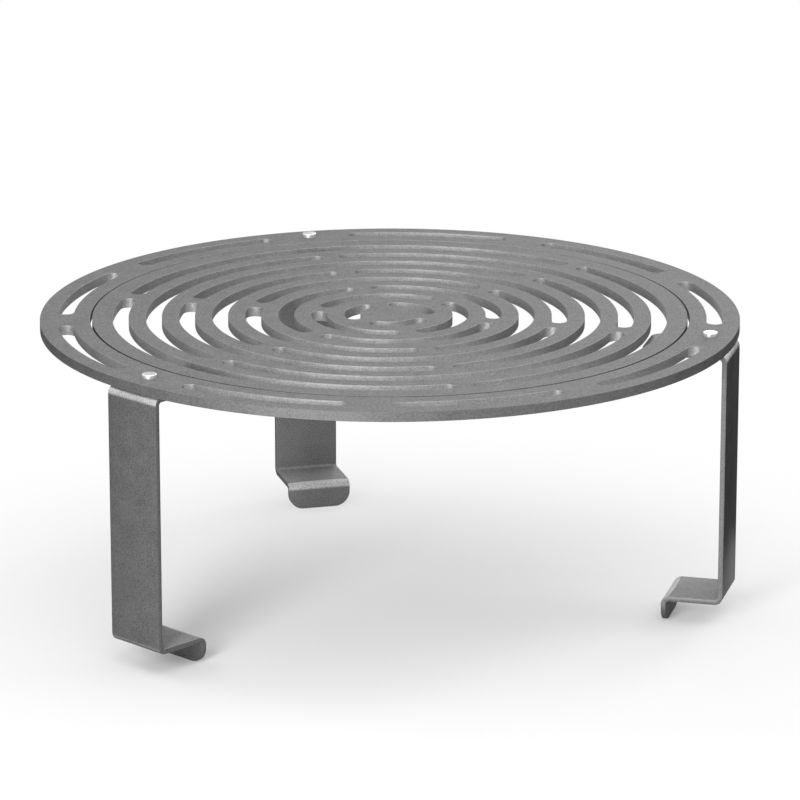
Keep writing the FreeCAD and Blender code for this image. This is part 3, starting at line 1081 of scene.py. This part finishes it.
class Lathe:
    """Turned and prismatic metalwork about the Z axis."""

    segments = 48

    def __init__(self) -> None:
        """Start an empty mesh."""
        self.work = bmesh.new()

    def row(self, height: float, reach: Callable[[float], float]) -> Row:
        """Closed row of points round the axis.

        Args:
            height: Height of the row.
            reach: Distance from the axis, by angle.

        Returns:
            The points.
        """
        angles = [TURN * step / self.segments for step in range(self.segments)]
        return [self.work.verts.new((reach(angle) * math.cos(angle),
                                     reach(angle) * math.sin(angle), height))
                for angle in angles]

    def ring(self, radius: float, height: float) -> Row:
        """Round row of points."""
        return self.row(height, lambda angle: radius)

    def hexagon(self, width: float, height: float) -> Row:
        """Row of points along a hexagon of a width across its flats, a corner at +X."""
        side = TURN / 6
        return self.row(height, lambda angle: width / 2 / math.cos(angle % side - side / 2))

    def skin(self, rows: Sequence[Row]) -> None:
        """Join rows of points, each to the next, with faces.

        Args:
            rows: The rows.
        """
        for first, second in zip(rows, rows[1:]):
            for step in range(self.segments):
                after = (step + 1) % self.segments
                self.work.faces.new((first[step], first[after], second[after], second[step]))

    def mesh(self, name: str) -> bpy.types.Mesh:
        """Finish the mesh, with its faces outwards."""
        bmesh.ops.recalc_face_normals(self.work, faces=self.work.faces)
        return mesh_of(self.work, name)


@dataclass
class Fasteners:
    """The bolts, washers and nuts that hold the legs.

    Attributes:
        bolt_radius: Radius over the thread.
        pitch: Rise of the thread in one turn.
        thread_depth: Depth of the thread.
        threaded: Length of the thread.
        end_chamfer: Height over which the thread fades in at the bolt's end.
        head_edge: Rounding of the head's top edge.
        washer_clearance: Radial gap between a bolt and its washer.
        nut_clearance: Radial gap between a bolt and its nut.
        edge_break: Broken edges of washers and nuts.
        nut_turning: How far a nut's corners are turned down, at its flats.
        nut_slope: Rise of the cone that turns them down.
    """

    bolt_radius: float = 2.5 * MM
    pitch: float = 0.8 * MM
    thread_depth: float = 0.4 * MM
    threaded: float = 7.2 * MM
    end_chamfer: float = 0.5 * MM
    head_edge: float = 0.4 * MM
    washer_clearance: float = 0.25 * MM
    nut_clearance: float = 0.02 * MM
    edge_break: float = 0.12 * MM
    nut_turning: float = 0.35 * MM
    nut_slope: float = math.tan(math.radians(30))

    def thread_reach(self, height: float, end: float, angle: float) -> float:
        """Distance of the thread's surface from the axis, which winds with the angle.

        Args:
            height: Height of the row of points.
            end: Height of the bolt's end, where the thread is chamfered.
            angle: Angle of the point.

        Returns:
            The distance.
        """
        root = self.bolt_radius - self.thread_depth
        wave = 0.5 + 0.5 * math.cos(TURN * height / self.pitch - angle)
        chamfered = max(height - end, 0.0) / self.end_chamfer
        return root + self.thread_depth * min(wave, chamfered)

    def bolt(self) -> bpy.types.Mesh:
        """One bolt, on the Z axis at its real height.

        Returns:
            The mesh.
        """
        low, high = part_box("bolt_back")
        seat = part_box("outer_ring")[1].z
        head = (high.x - low.x) / 2
        lathe = Lathe()
        rounding_steps, steps_per_turn = 5, 6
        bends = [QUARTER * step / rounding_steps for step in range(rounding_steps, -1, -1)]
        rows = [lathe.ring(head - self.head_edge * (1 - math.cos(bend)),
                           high.z - self.head_edge * (1 - math.sin(bend)))
                for bend in bends]
        rows += [lathe.ring(head, seat + self.edge_break),
                 lathe.ring(head - self.edge_break, seat),
                 lathe.ring(self.bolt_radius, seat)]
        start = low.z + self.threaded
        rows.append(lathe.ring(self.bolt_radius, start + self.pitch))
        for step in range(int(self.threaded / self.pitch) * steps_per_turn + 1):
            height = start - step * self.pitch / steps_per_turn
            rows.append(lathe.row(height, partial(self.thread_reach, height, low.z)))
        rows.append(lathe.ring(self.bolt_radius - self.thread_depth, low.z))
        lathe.skin(rows)
        for end in (rows[0], rows[-1]):
            lathe.work.faces.new(end)
        return lathe.mesh("bolt")

    def washer(self) -> bpy.types.Mesh:
        """One washer, on the Z axis at its real height.

        Returns:
            The mesh.
        """
        low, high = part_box("washer_back")
        outer, inner = (high.x - low.x) / 2, self.bolt_radius + self.washer_clearance
        edge = self.edge_break
        lathe = Lathe()
        rows = [lathe.ring(inner, low.z + edge), lathe.ring(inner, high.z - edge),
                lathe.ring(inner + edge, high.z), lathe.ring(outer - edge, high.z),
                lathe.ring(outer, high.z - edge), lathe.ring(outer, low.z + edge),
                lathe.ring(outer - edge, low.z), lathe.ring(inner + edge, low.z)]
        lathe.skin([*rows, rows[0]])
        return lathe.mesh("washer")

    def nut(self) -> bpy.types.Mesh:
        """One nut, on the Z axis at its real height.

        Returns:
            The mesh.
        """
        low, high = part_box("nut_back")
        width = min(high.x - low.x, high.y - low.y)
        rim = width / 2 - self.nut_turning
        bore, edge = self.bolt_radius + self.nut_clearance, self.edge_break
        lathe = Lathe()
        turned = lathe.hexagon(width, low.z)
        for point in turned:
            point.co.z += (math.hypot(point.co.x, point.co.y) - rim) * self.nut_slope
        rows = [lathe.ring(bore, low.z + edge), lathe.ring(bore, high.z - edge),
                lathe.ring(bore + edge, high.z), lathe.hexagon(width, high.z), turned,
                lathe.ring(rim, low.z), lathe.ring(bore + edge, low.z)]
        lathe.skin([*rows, rows[0]])
        return lathe.mesh("nut")

    def build(self, steels: Steels) -> None:
        """Build each kind of fastener at the three legs, in place of its CAD nodes.

        Args:
            steels: The materials.
        """
        tree = around_legs_tree()
        for word, mesh in (("bolt", self.bolt()), ("washer", self.washer()), ("nut", self.nut())):
            piece = new_piece(word + "s", mesh)
            grow(piece, tree, {"Count": len(Leg), "Circle": bolt_circle(),
                               "First Leg": FIRST_LEG, "Steel": steels[Steel.BRIGHT]})
            settle(piece)
            attach(piece, Body.STAND, [f"{word}_{leg.side}" for leg in Leg])


def heading(degrees: float, rise: float = 0.0) -> Vector:
    """Direction from the stand, at degrees from +X and a rise over the ground."""
    flat, up = math.radians(degrees), math.radians(rise)
    return Vector((math.cos(flat) * math.cos(up), math.sin(flat) * math.cos(up), math.sin(up)))


@dataclass(frozen=True)
class Aimed:
    """A camera or lamp that is turned to the stand.

    Attributes:
        name: Its name.
        direction: Where it stands from the stand, in degrees from +X.
        rise: How high it stands, in degrees over the ground.
        distance: How far off it is from the point that it is turned to.
    """

    name: str
    direction: float
    rise: float
    distance: float

    def set_up(self, data: bpy.types.Camera | bpy.types.Light, aim: Vector) -> bpy.types.Object:
        """Put it in its place.

        Args:
            data: The camera's lens or the lamp's light.
            aim: The point that it is turned to.

        Returns:
            The camera or lamp.
        """
        aimed = new_piece(self.name, data)
        towards = heading(self.direction, self.rise)
        aimed.location = aim + towards * self.distance
        aimed.rotation_euler = towards.to_track_quat("Z", "Y").to_euler()
        return aimed


@dataclass(frozen=True)
class PhotoCamera(Aimed):
    """The camera where the photograph was taken from.

    Attributes:
        aim: The point in the middle of the picture.
        focal_pixels: Focal length in pixels of the photograph.
        image_pixels: Width of the photograph.
        sensor: Sensor width in millimetres.
        sight: Nearest and farthest distance that it sees.
    """

    name: str = "photo_camera"
    direction: float = 254.63
    rise: float = 16.192
    distance: float = 2.9765
    aim: tuple[float, float, float] = (0.00599, -0.00158, 0.12316)
    focal_pixels: float = 4810.0
    image_pixels: float = 800.0
    sensor: float = 36.0
    sight: tuple[float, float] = (0.1, 100.0)

    def build(self) -> None:
        """Make the camera and set it as the scene's."""
        lens = bpy.data.cameras.new(self.name)
        lens.sensor_width = self.sensor
        lens.lens = self.focal_pixels / self.image_pixels * self.sensor
        lens.clip_start, lens.clip_end = self.sight
        bpy.context.scene.camera = self.set_up(lens, Vector(self.aim))


@dataclass(frozen=True)
class Softbox(Aimed):
    """One large round soft lamp.

    Attributes:
        size: Width of the lamp.
        power: Its power in watts.
    """

    size: float
    power: float

    def build(self, aim: Vector) -> None:
        """Hang the lamp.

        Args:
            aim: The point that it shines at.
        """
        light = bpy.data.lights.new(self.name, "AREA")
        light.shape = "DISK"
        light.size = self.size
        light.energy = self.power
        self.set_up(light, aim).visible_camera = False


def lay(name: str, corners: Sequence[Sequence[float]], faces: Sequence[Sequence[int]],
        material: bpy.types.Material) -> bpy.types.Object:
    """Lay out a flat piece of the studio, which isn't part of the stand.

    Args:
        name: The piece's name.
        corners: Its corners.
        faces: The corners of each of its faces.
        material: Its material.

    Returns:
        The piece.
    """
    mesh = bpy.data.meshes.new(name)
    mesh.from_pydata(corners, [], faces)
    mesh.materials.append(material)
    piece = new_piece(name, mesh)
    return piece


@dataclass(frozen=True)
class Flag:
    """Dark cloth laid on the floor out of the camera's sight, which only the steel mirrors.

    Attributes:
        name: The flag's name.
        start: Where it starts round the stand, in degrees from +X.
        end: Where it ends.
        inner: Distance of its near edge from the stand's axis.
        outer: Distance of its far edge.
        lift: Its height over the floor.
        tone: Linear grey of the cloth.
    """

    name: str
    start: float
    end: float
    inner: float = 0.28
    outer: float = 1.6
    lift: float = 1 * MM
    tone: float = 0.03

    def build(self) -> None:
        """Lay the flag."""
        steps = 24
        edge = [heading(self.start + (self.end - self.start) * step / steps)
                for step in range(steps + 1)]
        corners = [direction * radius + UP * self.lift
                   for direction in edge for radius in (self.inner, self.outer)]
        faces = [(2 * step, 2 * step + 1, 2 * step + 3, 2 * step + 2) for step in range(steps)]
        material = bpy.data.materials.new("flag_cloth")
        graph = Graph.cleared(material)
        cloth = graph.out("ShaderNodeBsdfDiffuse", {"Color": grey(self.tone)})
        graph.add("ShaderNodeOutputMaterial", {"Surface": cloth})
        flag = lay(self.name, corners, faces, material)
        for ray in ("camera", "diffuse", "transmission", "volume_scatter", "shadow"):
            setattr(flag, "visible_" + ray, False)


@dataclass(frozen=True)
class Studio:
    """Pale floor, white backdrop, soft lamps and dark flags.

    Attributes:
        floor_size: Length of the floor's sides.
        floor_tone: Linear grey of the floor round the stand.
        floor_middle: Where the floor is darkest, a little in front of the stand.
        fade_start: Distance from there where the floor begins to turn white.
        fade_end: Distance from there where it is white.
        room_light: Strength of the white room as a lamp.
        lamps: The soft lamps.
        flags: The dark flags.
    """

    floor_size: float = 40.0
    floor_tone: float = 0.8
    floor_middle: tuple[float, float, float] = (-0.032, -0.116, 0.0)
    fade_start: float = 0.06
    fade_end: float = 0.5
    room_light: float = 0.4
    lamps: tuple[Softbox, ...] = (
        Softbox("front_low", 232.0, 8.0, 2.4, 1.0, 37.0),
        Softbox("front_mid", 232.0, 24.0, 2.4, 1.0, 30.0),
        Softbox("front_top", 255.0, 45.0, 2.2, 1.2, 4.0),
        Softbox("overhead", 275.0, 72.0, 2.0, 1.6, 9.0),
        Softbox("right_top", 345.0, 50.0, 2.2, 1.2, 8.0),
        Softbox("right_back", 35.0, 25.0, 2.2, 0.8, 8.0),
        Softbox("back_low", 66.0, 13.0, 2.4, 0.8, 4.5),
        Softbox("left_side", 142.0, 43.0, 2.2, 1.2, 7.0),
    )
    flags: tuple[Flag, ...] = (
        Flag("left_flag", 82.0, 155.0),
        Flag("right_flag", -21.0, 61.0),
    )

    def seen(self, graph: Graph) -> Value:
        """Tell what is seen, directly or in gloss or glass, from what only gives light.

        Args:
            graph: The floor's or the room's nodes.

        Returns:
            A share that is 1 for what is seen, and otherwise 0.
        """
        path = graph.add("ShaderNodeLightPath").outputs
        seen = graph.math("MAXIMUM", path["Is Camera Ray"], path["Is Glossy Ray"])
        return graph.math("MAXIMUM", seen, path["Is Transmission Ray"])

    def floor(self) -> None:
        """Lay the floor: pale and shaded round the stand, plain white further off."""
        half = self.floor_size / 2
        corners = [(-half, -half, 0), (half, -half, 0), (half, half, 0), (-half, half, 0)]
        material = bpy.data.materials.new("pale_floor")
        graph = Graph.cleared(material)
        place = graph.out("ShaderNodeTexCoord", output="Object")
        distance = graph.vector_math("DISTANCE", place, self.floor_middle, output="Value")
        far = graph.out("ShaderNodeMapRange",
                        {"Value": distance, "From Min": self.fade_start,
                         "From Max": self.fade_end},
                        interpolation_type="SMOOTHSTEP")
        pale = graph.out("ShaderNodeBsdfDiffuse", {"Color": grey(self.floor_tone)})
        white = graph.out("ShaderNodeEmission", {"Color": WHITE, "Strength": 1.0})
        surface = graph.out("ShaderNodeMixShader", {0: far * self.seen(graph), 1: pale, 2: white})
        graph.add("ShaderNodeOutputMaterial", {"Surface": surface})
        lay("floor", corners, [range(len(corners))], material)

    def room(self) -> None:
        """Light the scene from a white room, seen white and lighting at its own strength."""
        world = bpy.data.worlds.new("white_room")
        graph = Graph.cleared(world)
        strength = self.seen(graph) * (1.0 - self.room_light) + self.room_light
        backdrop = graph.out("ShaderNodeBackground", {"Color": WHITE, "Strength": strength})
        graph.add("ShaderNodeOutputWorld", {"Surface": backdrop})
        bpy.context.scene.world = world

    def build(self, aim: Vector) -> None:
        """Set up the floor, the room, the lamps and the flags.

        Args:
            aim: The point that the lamps shine at.
        """
        self.floor()
        self.room()
        for lamp in self.lamps:
            lamp.build(aim)
        for flag in self.flags:
            flag.build()
        bpy.context.scene.view_settings.view_transform = "Standard"


def main() -> None:
    """Build the stand piece by piece, then the studio and the camera."""
    logging.basicConfig(level=logging.INFO, format="%(name)s: %(message)s")
    steels = all_steels()
    SlottedPlates().build(steels)
    BentLegs().build(steels)
    Fasteners().build(steels)
    low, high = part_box("leg_back")
    Studio().build(Vector((0, 0, (low.z + high.z) / 2)))
    PhotoCamera().build()


if __name__ == "__main__":
    main()
